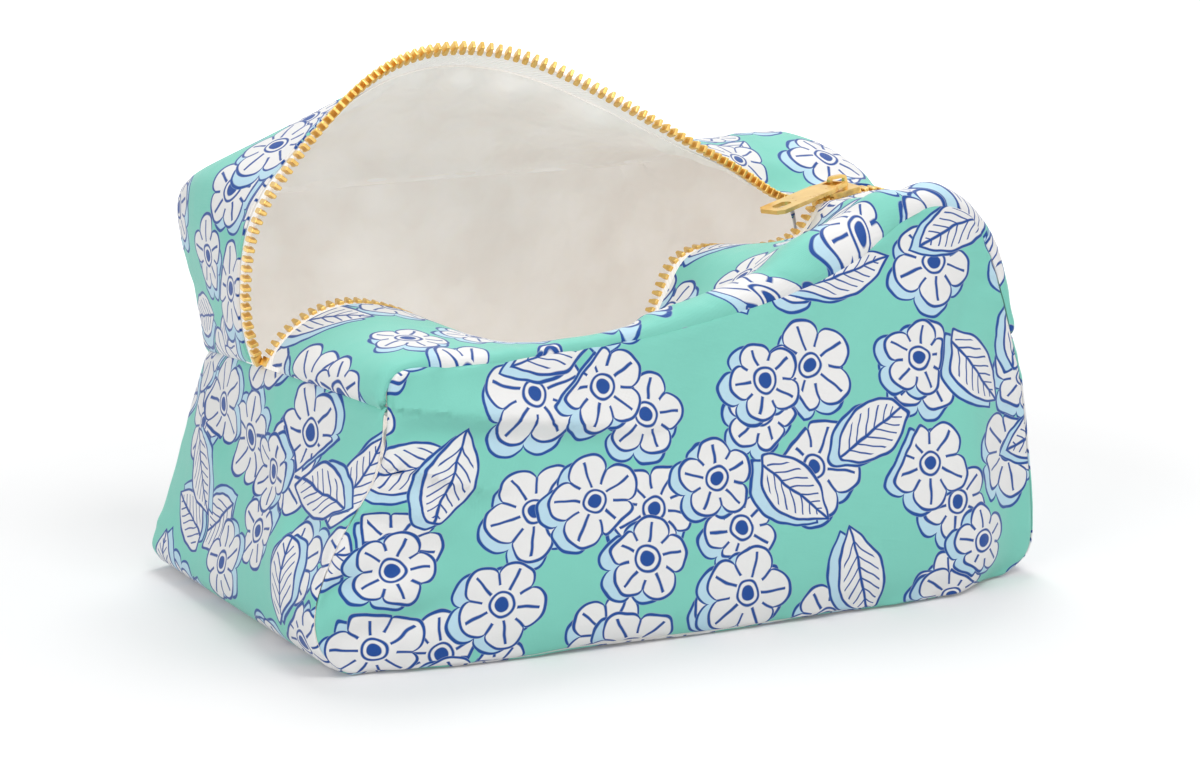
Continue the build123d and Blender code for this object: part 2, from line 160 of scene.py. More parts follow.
motif = bpy.data.node_groups.new("outlined_motif", "ShaderNodeTree")
motif.interface.new_socket("Place", in_out="INPUT", socket_type="NodeSocketVector")
for name in ("Body", "Outline", "Veins"):
    motif.interface.new_socket(name, in_out="OUTPUT", socket_type="NodeSocketFloat")


def inked(tree, distance, half, soft=0.16):
    """1 within half of a line, 0 outside it, with a soft edge."""
    return add(tree, "ShaderNodeMapRange", (distance, half + soft, half - soft))


def where_all(tree, *masks):
    """Where all of these masks meet."""
    made = masks[0]
    for mask in masks[1:]:
        made = add(tree, maths, (made, mask), operation="MULTIPLY")
    return made


def where_any(tree, *masks):
    """Where any of these masks is."""
    made = masks[0]
    for mask in masks[1:]:
        made = add(tree, maths, (made, mask), operation="MAXIMUM")
    return made


# Each cell of the print holds one motif, turned by chance: a blossom or a leaf.
place = add(motif, "NodeGroupInput").outputs["Place"]
setting = {"Vector": place, "Scale": 1 / motif_spacing, "Randomness": 0.55}
cell = add(motif, "ShaderNodeTexVoronoi", setting, voronoi_dimensions="2D", feature="F1").outputs
wall = add(motif, "ShaderNodeTexVoronoi", setting, voronoi_dimensions="2D",
           feature="DISTANCE_TO_EDGE")
chance = add(motif, "ShaderNodeSeparateColor", (cell["Color"],)).outputs
local = add(motif, "ShaderNodeVectorMath", (place, cell["Position"]), operation="SUBTRACT")
spin = add(motif, maths, (chance[0], 2 * math.pi), operation="MULTIPLY")
turned = add(motif, "ShaderNodeVectorRotate", {"Vector": local, "Angle": spin},
             rotation_type="Z_AXIS")
spot = add(motif, "ShaderNodeSeparateXYZ", (turned,)).outputs
radius = add(motif, "ShaderNodeVectorMath", (local,), operation="LENGTH").outputs["Value"]

# A blossom's edge waves in and out round its middle, once for each petal.
turn = add(motif, maths, (spot[1], spot[0]), operation="ARCTAN2")
turn = add(motif, maths, (turn, petals / 2), operation="MULTIPLY")
petal = add(motif, maths, (add(motif, maths, (turn,), operation="COSINE"),), operation="ABSOLUTE")
middle = add(motif, maths, (add(motif, maths, (turn,), operation="SINE"),), operation="ABSOLUTE")
reach = add(motif, maths, (chance[1], blossom_spread, smallest_blossom), operation="MULTIPLY_ADD")
lobe = add(motif, maths, (petal, petal_sharpness), operation="POWER")
lobe = add(motif, maths, (lobe, petal_bulge, petal_dip), operation="MULTIPLY_ADD")
edge = add(motif, maths, (reach, lobe), operation="MULTIPLY")
blossom = add(motif, maths, (edge, radius), operation="SUBTRACT")

# A leaf tapers to a point at both ends.
side = add(motif, maths, (spot[1],), operation="ABSOLUTE")
along = add(motif, maths, (spot[0],), operation="ABSOLUTE")
taper = add(motif, maths, (along, leaf_half_length), operation="DIVIDE")
taper = add(motif, maths, (taper, 2.0), operation="POWER")
edge = add(motif, maths, (taper, -leaf_half_width, leaf_half_width), operation="MULTIPLY_ADD")
leaf = add(motif, maths, (edge, side), operation="SUBTRACT")
is_leaf = add(motif, maths, (chance[2], 1 - leaf_share), operation="GREATER_THAN")
form = add(motif, "ShaderNodeMix", {"Factor": is_leaf, "A": blossom, "B": leaf})
border = add(motif, maths, (wall.outputs["Distance"], motif_spacing, -motif_gap),
             operation="MULTIPLY_ADD")
form = add(motif, maths, (form, border, gap_rounding), operation="SMOOTH_MIN")

# The ink: an outline, then a ring, a dot and lines in a blossom, or a rib and slanted
# veins in a leaf.
body = add(motif, "ShaderNodeMapRange", (form, -0.1, 0.2))
away = add(motif, maths, (form, outline_inset), operation="SUBTRACT")
outline = inked(motif, add(motif, maths, (away,), operation="ABSOLUTE"), outline_half)
inner = add(motif, maths, (form, vein_inset), operation="GREATER_THAN")
away = add(motif, maths, (radius, ring_radius), operation="SUBTRACT")
ring = inked(motif, add(motif, maths, (away,), operation="ABSOLUTE"), ring_half)
dot = inked(motif, radius, dot_radius)
lines = {}
for name, wave, start, half in (("rays", middle, ray_start, ray_half),
                                ("petal_lines", petal, petal_line_start, petal_line_half)):
    away = add(motif, maths, (wave, radius), operation="MULTIPLY")
    away = add(motif, maths, (away, petal_line_taper), operation="MULTIPLY")
    outside = add(motif, maths, (radius, start), operation="GREATER_THAN")
    lines[name] = where_all(motif, inked(motif, away, half), outside)
rays = where_all(motif, lines["rays"], inner)
flower_veins = where_any(motif, ring, dot, rays, lines["petal_lines"])
slant = add(motif, maths, (side, leaf_vein_slant, spot[0]), operation="MULTIPLY_ADD")
slant = add(motif, maths, (slant, leaf_vein_spacing), operation="PINGPONG")
slant = where_all(motif, inked(motif, slant, leaf_vein_half), inner)
leaf_veins = where_any(motif, inked(motif, side, rib_half), slant)
veins = add(motif, "ShaderNodeMix", {"Factor": is_leaf, "A": flower_veins, "B": leaf_veins})
add(motif, "NodeGroupOutput", {"Body": body, "Outline": outline, "Veins": veins})


def fine_bump(tree, place, thread, strength, ripple, ripple_height):
    """Crossing threads and a soft uneven ripple, as bump, all in millimetres. The wave
    texture turns 20 radians in one unit of its scale."""
    threads = []
    for way in ("X", "Y"):
        threads.append(add(tree, "ShaderNodeTexWave", {
            "Vector": place, "Scale": 2 * math.pi / (20 * thread), "Distortion": 0.4},
            bands_direction=way).outputs["Fac"])
    weave = add(tree, maths, threads, operation="MULTIPLY")
    soft = add(tree, "ShaderNodeTexNoise", {"Vector": place, "Scale": 1 / ripple, "Detail": 2})
    first = add(tree, "ShaderNodeBump", {"Height": weave, "Strength": strength,
                                         "Distance": thread / 4 / 1000})
    return add(tree, "ShaderNodeBump", {
        "Height": soft.outputs["Fac"], "Strength": 1, "Distance": ripple_height / 1000,
        "Normal": first})


# The print is two layers of motifs, each first in pale blue and then, a little to one
# side, in white. Its threads are drawn coarser than real ones, so that they show.
printed, tree = new_material("smooth_printed_polyester")
aqua, pale_blue, white, navy = (colour(c) for c in ("#7FCFBE", "#BBDCEB", "#ECEBEA", "#0C4796"))
blue_side = (2.4, 3.4, 0)
hand_drawn = (2.6, 2.6, 0)
place = add(tree, "ShaderNodeUVMap").outputs[0]
wobble = add(tree, "ShaderNodeTexNoise", {"Vector": place, "Scale": 0.11, "Detail": 1})
drawn = add(tree, "ShaderNodeVectorMath", (wobble.outputs["Color"], hand_drawn, place),
            operation="MULTIPLY_ADD")
tone = aqua
for angle, shift in ((0, (0, 0, 0)), (0.62, (517, 331, 0))):
    here = add(tree, "ShaderNodeVectorRotate", {"Vector": drawn, "Angle": angle},
               rotation_type="Z_AXIS")
    here = add(tree, "ShaderNodeVectorMath", (here, shift), operation="ADD")
    back = add(tree, "ShaderNodeVectorMath", (here, blue_side), operation="ADD")
    front = add(tree, "ShaderNodeGroup", {"Place": here}, node_tree=motif).outputs
    rear = add(tree, "ShaderNodeGroup", {"Place": back}, node_tree=motif).outputs
    marks = where_any(tree, front["Outline"], front["Veins"])
    for mask, ink in ((rear["Body"], pale_blue),
                      (where_all(tree, rear["Outline"], rear["Body"]), navy),
                      (front["Body"], white),
                      (where_all(tree, marks, front["Body"]), navy)):
        tone = add(tree, "ShaderNodeMix", {"Factor": mask, 6: tone, 7: ink},
                   data_type="RGBA").outputs[2]
finish_material(tree, add(tree, "ShaderNodeBsdfPrincipled", {
    "Base Color": tone, "Roughness": 0.58, "Sheen Weight": 0.18, "Sheen Roughness": 0.4,
    "Specular IOR Level": 0.35, "Normal": fine_bump(tree, place, 0.45, 0.5, 19, 1.3)}))

# Satin lining: white polyester satin, with a silky run of light along its folds and a
# fine close weave. Broad patches of painted shade in its colour stand for soft folds.
# Its faint glow is painted light, in place of the daylight that thin white cloth lets
# through.
satin, tree = new_material("white_satin")
place = add(tree, "ShaderNodeUVMap").outputs[0]
# Painted shade: broad noise darkens the satin's colour in patches, as soft folds would.
painted_fold_shade = add(tree, "ShaderNodeTexNoise", {"Vector": place, "Scale": 0.04, "Detail": 2})
depth = add(tree, "ShaderNodeMapRange", (painted_fold_shade.outputs["Fac"], 0.35, 0.65))
tone = add(tree, "ShaderNodeMix", {"Factor": depth, 6: colour("#EDE8E2"), 7: colour("#F7F4F0")},
           data_type="RGBA").outputs[2]
# The emission is painted light: a faint glow in place of daylight through the cloth.
finish_material(tree, add(tree, "ShaderNodeBsdfPrincipled", {
    "Base Color": tone, "Roughness": 0.42, "Sheen Weight": 0.2, "Sheen Roughness": 0.3,
    "Anisotropic": 0.35, "Emission Color": (1, 0.97, 0.94, 1), "Emission Strength": 0.15,
    "Normal": fine_bump(tree, place, 0.3, 0.4, 17, 3.0)}))

# Wadding: matt white fibre between cloth and lining, all but hidden. Its fluff is in
# tufts of about a millimetre.
wadding, tree = new_material("white_wadding")
place = add(tree, "ShaderNodeUVMap").outputs[0]
fluff = add(tree, "ShaderNodeTexNoise", {"Vector": place, "Scale": 0.9, "Detail": 6}).outputs["Fac"]
tone = add(tree, "ShaderNodeMix", {"Factor": fluff, 6: colour("#E4E1DB"), 7: colour("#F2F0EB")},
           data_type="RGBA").outputs[2]
puffs = add(tree, "ShaderNodeBump", {"Height": fluff, "Distance": 0.0008})
finish_material(tree, add(tree, "ShaderNodeBsdfPrincipled", {
    "Base Color": tone, "Roughness": 0.95, "Sheen Weight": 0.3, "Normal": puffs}))


# Seams of the front and back walls, in millimetres. Each is one loop: down the left
# corner, along the base, up the right corner and back along the top. The third, marked
# 0, follows the gusset's middle.
span = 32     # points laid from each point of a seam or a zip row to the next


def smooth_line(points):
    """Points of a smooth line through these, a span of them from each to the next."""
    points = np.array(points, float)
    steps = np.linalg.norm(np.diff(points, axis=0), axis=1)
    count = len(points)
    matrix, right = np.eye(count), np.zeros((count, points.shape[1]))
    for i in range(1, count - 1):
        a, b = steps[i - 1], steps[i]
        matrix[i, i - 1:i + 2] = a, 2 * (a + b), b
        right[i] = 6 * ((points[i + 1] - points[i]) / b - (points[i] - points[i - 1]) / a)
    bend = np.linalg.solve(matrix, right)
    made = []
    for i in range(count - 1):
        h = steps[i]
        for t in np.linspace(0, 1, span, endpoint=False):
            near, far = 1 - t, t
            made.append(points[i] * near + points[i + 1] * far
                        + h * h / 6 * ((near**3 - near) * bend[i] + (far**3 - far) * bend[i + 1]))
    return np.array(made + [points[-1]])


def even(line, shares):
    """The points of a line at shares of its length."""
    gone = np.concatenate([[0], np.cumsum(np.linalg.norm(np.diff(line, axis=0), axis=1))])
    return np.stack([np.interp(shares * gone[-1], gone, line[:, k]) for k in range(line.shape[1])], 1)


def spread(count, pull=0.72):
    """Shares from 0 to 1, closer together near both ends."""
    t = np.linspace(0, 1, count)
    return t - pull * np.sin(2 * np.pi * t) / (2 * np.pi)


def soft_step(t):
    t = np.clip(t, 0, 1)
    return t * t * (3 - 2 * t)


def reading(values, share):
    """A smooth reading between evenly spaced values."""
    values = np.array(values, float)
    place = np.clip(share, 0, 0.99999) * (len(values) - 1)
    i = place.astype(int)
    t = place - i
    a, b = values[np.maximum(i - 1, 0)], values[i]
    c, d = values[i + 1], values[np.minimum(i + 2, len(values) - 1)]
    return b + 0.5 * t * (c - a + t * (2 * a - 5 * b + 4 * c - d + t * (3 * (b - c) + d - a)))


half_length = 133.4            # over the swollen ends
base_end = 118.7               # where the base turns up into the ends
corner_run = 34.0              # how far from a corner a wall is fully swollen
base = [(-60, 0), (0, 0), (60, 0)]
left_down = {
    -1: [(-106.9, 83), (-109.8, 64.7), (-120.1, 48.1), (-128.9, 31.5), (-131.9, 16.6),
         (-128.6, 7.0), (-base_end, 0)],
    0: [(-118.3, 83), (-121.5, 64.7), (-125.3, 48.1), (-129.3, 31.5), (-132.1, 16.6),
        (-131.3, 7.0), (-base_end, 0)],
    1: [(-110.6, 74), (-116.5, 57.7), (-121.3, 42.9), (-126.1, 28.1), (-131.3, 14.8),
        (-133.0, 6.7), (-base_end, 0)]}
right_up = {
    -1: [(base_end, 0), (131.5, 7.6), (132.9, 16.8), (131.8, 31.9), (129.5, 48.7), (127, 65.5),
         (122.1, 84)],
    0: [(base_end, 0), (131.5, 7.7), (133.1, 17), (133.4, 32.3), (132.7, 49.3), (131, 66.3),
        (127.5, 85)],
    1: [(base_end, 0), (131, 7.6), (132.6, 16.8), (132.1, 31.9), (130.5, 48.7), (128.5, 65.5),
        (124.1, 84)]}
over_top = {
    -1: [(117.2, 99.7), (112.6, 112), (108.4, 120.2), (102.6, 126.9), (96.5, 130), (88.5, 131.4),
         (80, 129), (73.9, 126), (62.3, 118), (48.9, 111.8), (28.5, 105.8), (6.3, 101.6), (-10.2, 99),
         (-33.9, 97), (-60, 95.7), (-88, 95.8), (-103.5, 94), (-106.7, 89.5), (-106.9, 83)],
    1: [(122.1, 96.2), (118.1, 109.8), (112, 122.9), (104.3, 129), (96, 130.5), (53.4, 130),
        (0, 130), (-53.4, 130), (-106.7, 130.5), (-116.9, 129), (-118.1, 117.8), (-114.6, 101.8),
        (-111.7, 88.2), (-110.6, 74)]}
corners = {-1: (3, 16), 1: (3, 9)}     # places of the right and left corners in over_top
seam_y, belly = 72.0, 15.0
swell_along = (0, 0.33, 0.57, 0.76, 0.89, 0.96, 1, 1, 1, 0.80, 0)
swell_up = (0.86, 1.0, 1.0, 0.95, 0.86, 0.75, 0.62, 0.48, 0.33, 0.17, 0)
turns = (0, 6, 10, 16)         # the points where left end, base, right end and top begin
loops, marks = {}, {}
for side in (-1, 0, 1):
    points = left_down[side] + base + right_up[side] + over_top.get(side, [])
    flat = smooth_line(points)
    x, z = flat[:, 0], np.maximum(flat[:, 1], 0)
    low = soft_step((12 - z) / 9) * soft_step((base_end - abs(x)) / corner_run)
    along = reading(swell_along, (x / half_length + 1) / 2)
    loops[side] = np.stack([x, side * (seam_y + belly * swell_up[0] * along * low), z], 1)
    marks[side] = [span * i for i in turns]


# Walls, gusset and zip top are laid out as grids of points. Each becomes a layer of cloth
# and one of satin, rounded and gathered towards the seams. Walls and gusset have wadding
# between the two.
def outward(points):
    """Unit directions out of the bag at a grid's points."""
    way = np.cross(np.gradient(points, axis=0), np.gradient(points, axis=1))
    way /= np.maximum(np.linalg.norm(way, axis=2, keepdims=True), 1e-9)
    return way * np.sign((way * (points - np.array([0, 0, 45]))).sum(2).mean())


def from_edge(points, edge):
    """How far each point of a grid is from one of its edges, and its place along it."""
    axis, last = {"u0": (0, False), "u1": (0, True), "v0": (1, False), "v1": (1, True)}[edge]
    steps = np.linalg.norm(np.diff(points, axis=axis), axis=2)
    gone = np.concatenate([np.zeros_like(steps.take([0], axis)), np.cumsum(steps, axis=axis)], axis)
    if last:
        gone = gone.take([-1], axis) - gone
    rim = points.take(-1 if last else 0, axis)
    place = np.concatenate([[0], np.cumsum(np.linalg.norm(np.diff(rim, axis=0), axis=1))])
    return gone, place[None, :] if axis == 0 else place[:, None]


def quarter_round(share):
    """The drop of a nearly full quarter round, from 0 at its start."""
    return 1 - np.sqrt(1 - share**2 * 0.98)


def tuck(points, edge, way, depth, reach):
    """Rounds a grid over into its seam, along one direction."""
    gone, place = from_edge(points, edge)
    share = np.clip(1 - gone / reach, 0, 1)
    drop = depth * quarter_round(share)
    return points + drop[..., None] * (np.array(way, float) / np.linalg.norm(way))


def waves(place, pitch, seed):
    """An uneven run of small folds."""
    place = place * (2 * np.pi / pitch)
    return (np.sin(place + 1.9 * np.sin(place * 0.217 + seed)) * 0.6
            + np.sin(place * 0.53 + seed * 2.1) * 0.4) * (0.55 + 0.45 * np.sin(place * 0.091 + seed))


def gather(points, edge, pitch, height, reach, seed=0.0, hold=3.0, inwards=False):
    """Small folds beside a seam, full from this far off it and dying out beyond. Turned
    inwards, they only sink."""
    gone, place = from_edge(points, edge)
    lift = height * (waves(place, pitch, seed) - inwards) / (1 + inwards)
    lift = lift * np.exp(-gone / reach) * soft_step(gone / hold)
    return points + lift[..., None] * outward(points)


seam_calm = 5.0     # creases die out this close to a seam


def crease(points, start, end, width, height, below=None):
    """A ridge, or with a negative height a fold line, between two places on a grid.
    A small width below the line makes it a fold that hangs over its lower side.
    It dies out towards the seams."""
    start, end = np.array(start, float), np.array(end, float)
    line = end - start
    t = np.clip(((points - start) @ line) / (line @ line), 0, 1)
    nearest = start + t[..., None] * line
    away = np.linalg.norm(points - nearest, axis=2)
    width = np.where(points[..., 2] < nearest[..., 2], below or width, width)
    seam = np.minimum.reduce([np.broadcast_to(from_edge(points, edge)[0], away.shape)
                              for edge in ("u0", "u1", "v0", "v1")])
    lift = height * np.exp(-(away / width) ** 2) * np.sin(np.pi * (0.08 + 0.84 * t)) ** 0.7
    lift *= soft_step(seam / seam_calm)
    return points + lift[..., None] * outward(points)


def layer(name, points, over, under, material, node, slot, places, body="bag", ends=None,
          way=None):
    """A closed layer of cloth that reaches over and under a grid of points. It stays just
    off the floor."""
    way = outward(points) if way is None else way
    count, rows = points.shape[:2]
    solid = np.concatenate([(points + way * over).reshape(-1, 3),
                            (points - way * under).reshape(-1, 3)])
    solid[:, 2] = np.maximum(solid[:, 2], 0.01)
    index = np.arange(count * rows).reshape(count, rows)
    top = np.stack([index[:-1, :-1], index[1:, :-1], index[1:, 1:], index[:-1, 1:]], -1)
    top = top.reshape(-1, 4)
    turn = np.cross(points[1:, :-1] - points[:-1, :-1], points[:-1, 1:] - points[:-1, :-1])
    faces_out = (turn * way[:-1, :-1]).sum(2).mean()
    if faces_out < 0:
        top = top[:, ::-1]
    bottom = top[:, ::-1] + count * rows
    rim = np.concatenate([index[:, 0], index[-1, 1:], index[-2::-1, -1], index[0, -2:0:-1]])
    nxt = np.roll(rim, -1)
    wall = np.stack([rim, nxt, nxt + count * rows, rim + count * rows], 1)
    if faces_out > 0:
        wall = wall[:, ::-1]
    faces = np.concatenate([top, bottom, wall])
    mesh = bpy.data.meshes.new(name)
    mesh.from_pydata((solid / 1000).tolist(), [], faces.tolist())
    flat = np.concatenate([places.reshape(-1, 2)] * 2)
    sheet = mesh.uv_layers.new(name="cloth")
    order = np.empty(len(mesh.loops), int)
    mesh.loops.foreach_get("vertex_index", order)
    sheet.data.foreach_set("uv", flat[order].ravel())
    mesh.polygons.foreach_set("use_smooth", [True] * len(faces))
    mesh.set_sharp_from_angle(angle=math.radians(60))
    mesh.materials.append(material)
    made = bpy.data.objects.new(name, mesh)
    bpy.context.collection.objects.link(made)
    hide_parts(node)
    if ends is None:
        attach(made, body)
    else:
        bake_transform(made)
    return made


# Front and back walls: panels of printed cloth, wadding and satin that belly out above
# the base and are gathered into the seams round them. Two folds hang over themselves in
# the cloth alone, at the slack left end of the front wall.
cloth_depths, wadding_depths, lining_depths = (0, 0.8), (-1.1, 3.1), (-3.4, 3.9)
seam_rows = 8          # rows of the grid that the layers inside stop short of a seam


def wall_grid(side):
    loop, (a, b, c, d) = loops[side], marks[side]
    first = d + span * (corners[side][0] + 1)
    last = d + span * (corners[side][1] + 1)
    left = np.concatenate([loop[last:], loop[1:b + 1]])[::-1]
    right, top, low = loop[c:first + 1], loop[first:last + 1][::-1], loop[b:c + 1]
    u, v = spread(190), spread(96)
    left, right, top, low = even(left, v), even(right, v), even(top, u), even(low, u)
    u, v = u[:, None, None], v[None, :, None]
    grid = ((1 - v) * low[:, None] + v * top[:, None] + (1 - u) * left[None] + u * right[None]
            - (1 - u) * (1 - v) * low[0] - u * (1 - v) * low[-1]
            - (1 - u) * v * top[0] - u * v * top[-1])
    rise = np.clip(grid[..., 2] / np.maximum(top[:, None, 2], 1), 0, 1)
    sides = np.minimum(from_edge(grid, "u0")[0], from_edge(grid, "u1")[0])
    along = reading(swell_along, (grid[..., 0] / half_length + 1) / 2)
    swell = along * reading(swell_up, rise) * soft_step(sides / corner_run)
    grid[..., 1] = side * (seam_y + belly * swell)
    return grid


def wall_places(grid, shift):
    """Where each point of a wall lies on the print, in millimetres."""
    up = np.concatenate([np.zeros((len(grid), 1)), np.cumsum(
        np.linalg.norm(np.diff(grid, axis=1), axis=2), axis=1)], 1)
    return np.stack([grid[..., 0] + shift, up + shift * 0.7], -1)


for side, name in ((-1, "front"), (1, "back")):
    grid = wall_grid(side)
    if side < 0:
        for start, end, width, height in (
                ((-110, -73, 62), (-86, -82, 44), 6, 2.2),
                ((-112, -73, 60), (-92, -82, 46), 5, 2.0),
                ((-130, -73, 26), (-96, -82, 38), 4.5, -2.8),
                ((-124, -74, 42), (-100, -82, 20), 7, 2.4),
                ((-120, -73, 12), (-84, -84, 22), 5, -1.8),
                ((104, -76, 104), (84, -84, 60), 7, -1.8),
                ((70, -78, 118), (40, -84, 84), 8, -1.7),
                ((92, -78, 120), (74, -84, 88), 6, 1.5),
                ((10, -76, 100), (-6, -85, 70), 7, -1.4),
                ((128, -75, 44), (98, -85, 30), 5, -1.7),
                ((126, -75, 66), (104, -85, 60), 6, 1.5)):
            grid = crease(grid, start, end, width, height)
    places = wall_places(grid, shift=40 + 300 * side)
    for edge, pitch, height, reach in (("u0", 11, 1.8, 10), ("u1", 10, 1.2, 9),
                                       ("v1", 13, 1.2, 9), ("v0", 15, 0.8, 9)):
        grid = gather(grid, edge, pitch, height, reach, seed=side + pitch)
    cloth = grid
    if side < 0:
        for start, end, width, height, below in (
                ((-112, -73, 84), (-24, -81, 68), 9, 5.6, 2.9),
                ((-116, -73, 68), (-76, -81, 54), 7, 4.4, 2.9)):
            cloth = crease(cloth, start, end, width, height, below)
    for edge, way in (("u0", (1, -side, 0)), ("u1", (-1, -side, 0)),
                      ("v1", (0, -side, -1)), ("v0", (0, -side, 1))):
        cloth = tuck(cloth, edge, way, depth=2.9, reach=4.8)
    layer(name + "_panel_cloth", cloth, *cloth_depths, printed, name + "_panel", "printed_cloth",
          places)
    inside = slice(seam_rows, -seam_rows)
    padded = layer(name + "_wadding", grid[inside, inside], *wadding_depths, wadding,
                   name + "_padding", "wadding", places[inside, inside])
    # The back lining shows in the mouth, so it goes on up to the top seam.
    lined = slice(seam_rows, None if side > 0 else -seam_rows)
    quilted = gather(grid[inside, lined], "v1", 23, 3.2, 24, seed=2.0, hold=3, inwards=True)
    for start, end, width, height in (
            ((-96, 80, 116), (-20, 86, 108), 5, -3.4), ((-60, 86, 96), (40, 87, 110), 7, -3.2),
            ((-100, 78, 86), (-62, 86, 60), 6, -3.0), ((10, 87, 90), (90, 84, 112), 5, -3.0),
            ((-80, 85, 70), (-10, 87, 84), 8, -3.0), ((30, 87, 60), (80, 86, 84), 7, -2.6)):
        quilted = crease(quilted, start, end, width, height)
    layer(name + "_lining_satin", quilted, *lining_depths, satin, name + "_lining", "satin_lining",
          places[inside, lined])


# Gusset: one strip of printed cloth, wadding and satin down the left end, under the base
# and up the right end. Its left end has sunk in, so it bows between its two seams.
end_trim, side_trim = 6, 13    # rows of its grid that wadding and lining stop short of a seam
middle_row = 35


def gusset_grid():
    runs = []
    u = [spread(84, 0.5), spread(120, 0.3), spread(84, 0.5)]
    for side in (-1, 0, 1):
        loop, (a, b, c, d) = loops[side], marks[side]
        parts = [even(loop[i:j + 1], share) for i, j, share in zip((a, b, c), (b, c, d), u)]
        runs.append(np.concatenate([parts[0], parts[1][1:], parts[2][1:]]))
    front, middle, back = (run[:, None] for run in runs)
    t = (2 * spread(70) - 1)[None, :, None]
    return middle + (back - front) * (t / 2) + ((back + front) * 0.5 - middle) * t**2


grid = gusset_grid()
steps = np.linalg.norm(np.diff(grid[:, middle_row], axis=0), axis=1)
length = np.concatenate([[0], np.cumsum(steps)])
places = np.stack([grid[..., 1] + 700, np.repeat(length[:, None], grid.shape[1], 1) + 211], -1)
level = grid[..., 2].copy()
for start, end, width, height in (
        ((-121, 40, 60), (-128, -66, 40), 8, -2.8), ((-124, -10, 74), (-130, -50, 20), 9, 2.4),
        ((-119, -60, 76), (-126, -10, 52), 5, -2.6), ((-131, 50, 20), (-128, -20, 34), 8, -2.0),
        ((-120, 60, 66), (-126, 20, 44), 5, 1.8), ((131, -60, 70), (133, 20, 40), 9, -1.6)):
    grid = crease(grid, start, end, width, height)
for edge, height in (("v0", 0.8), ("v1", 0.8), ("u0", 0.5), ("u1", 0.4)):
    grid = gather(grid, edge, 11, height, 9, seed=4.0)
grid[..., 2] = np.where(level < 3, np.maximum(level, 0.02), grid[..., 2])
cloth = grid
inwards = np.stack([-np.sign(grid[..., 0]) * soft_step((abs(grid[..., 0]) - 100) / 22),
                    np.zeros_like(level), soft_step((22 - level) / 18)], -1)
for edge, sign in (("v0", 1), ("v1", -1)):
    gone = from_edge(cloth, edge)[0]
    share = np.clip(1 - gone / 4.5, 0, 1)
    way = inwards + np.array([0, sign, 0])
    way /= np.linalg.norm(way, axis=2, keepdims=True)
    cloth = cloth + (2.0 * quarter_round(share))[..., None] * way
for edge, sign in (("u0", 1), ("u1", -1)):
    cloth = tuck(cloth, edge, (sign, 0, 0), depth=1.6, reach=4)
layer("gusset_cloth", cloth, *cloth_depths, printed, "gusset", "printed_cloth", places)
inner = grid[end_trim:-end_trim, side_trim:-side_trim]
inner_places = places[end_trim:-end_trim, side_trim:-side_trim]
padded = layer("gusset_wadding", inner, *wadding_depths, wadding, "gusset_padding", "wadding",
               inner_places)
layer("gusset_lining_satin", inner, *lining_depths, satin, "gusset_lining", "satin_lining",
      inner_places)

# Zip rows: the middle lines of the two rows of teeth, together from the slider to the
# right end and apart from there to the left end.
slide_length, slide_drop = 194.6, 20
tilt = slide_drop / math.sqrt(slide_length**2 - slide_drop**2)
way = np.array([1, 0, tilt]) / math.hypot(1, tilt)
slider_at = np.array([96.0, 0, 122.0])
rows = {
    1: [(-122.3, -0.5, 95.6), (-123.4, -2, 112.2), (-120.2, -2.7, 128.7), (-110.7, -2.7, 143.9),
        (-93.1, 0.3, 161.5), (-66.9, 12.3, 175.5), (-42.7, 18.5, 179.6), (-22.1, 15.9, 177.1),
        (5.8, 5.2, 164.1), (36.2, -1.5, 145.5), (62.7, 0.5, 130)],
    -1: [(-112.6, 0, 91.3), (-99.7, 0, 99.7), (-89.2, 0, 101.6), (-78.7, 0, 99.7), (-61.3, -0.5, 91.3),
         (-44, -9, 71.6), (-20, -20, 55.2), (4, -12, 66.6), (18, -3, 83.5), (25.3, -0.5, 96.2),
         (30.4, 0, 104.5), (40.6, 0, 108.3), (53.4, -1, 107.2), (65.4, -3, 107.6), (74.2, -4.4, 110.4),
         (80.1, -4.5, 116.3)]}
for side in (-1, 1):
    mouth = slider_at - way * 7 + np.array([0, side * 2.4, 0])
    rows[side] = smooth_line(
        [(-118.3, 0, 83)] + rows[side]
        + [mouth - way * 5 + np.array([0, side * 1.6, 0]), mouth, slider_at + way * 7,
           (110.2, 0, 122.8), (117.9, 0, 120), (123.8, 0, 112), (126.7, 0, 99.8), (127.5, 0, 85)])
# Each flap is split in two parts at split_x, in millimetres. Each part is listed with two
# places, in metres; a part with places is not attached to a body.
ends = {(1, "left"): ((-0.1186, 0, 0.083), (-0.0546, 0, 0.160)),
        (1, "right"): ((0.1214, 0, 0.13), (-0.0406, 0, 0.13)),
        (-1, "left"): ((-0.075, 0, 0.1), (-0.025, 0, 0.1)),
        (-1, "right"): ((0.0424, 0, 0.1), (-0.0176, 0, 0.1))}
split_x = {1: -40.6, -1: -24.6}


# Zip top: two strips of printed cloth, lined with satin, from the zip out to the top
# seams. The back half stands up as an arch; the front half sinks into the mouth. Along
# the zip each strip is sewn to a tape of matt white twill.
tape_white, tree = new_material("white_woven_tape")
twill_pitch = 1.346            # coarser than real twill, so that it shows
place = add(tree, "ShaderNodeUVMap").outputs[0]
twill = add(tree, "ShaderNodeTexWave", {
    "Vector": place, "Scale": 2 * math.pi / (10 * math.sqrt(2) * twill_pitch), "Distortion": 0.5},
    bands_direction="DIAGONAL").outputs["Fac"]
tone = add(tree, "ShaderNodeMix", {"Factor": twill, 6: colour("#E9E6E1"), 7: colour("#F5F3F0")},
           data_type="RGBA").outputs[2]
rib = add(tree, "ShaderNodeBump", {"Height": twill, "Distance": 0.00012})
# Like the satin, the thin tape glows a little: painted light, in place of the daylight
# it lets through.
finish_material(tree, add(tree, "ShaderNodeBsdfPrincipled", {
    "Base Color": tone, "Roughness": 0.75, "Sheen Weight": 0.2, "Normal": rib,
    "Emission Color": (1, 0.98, 0.96, 1), "Emission Strength": 0.2}))

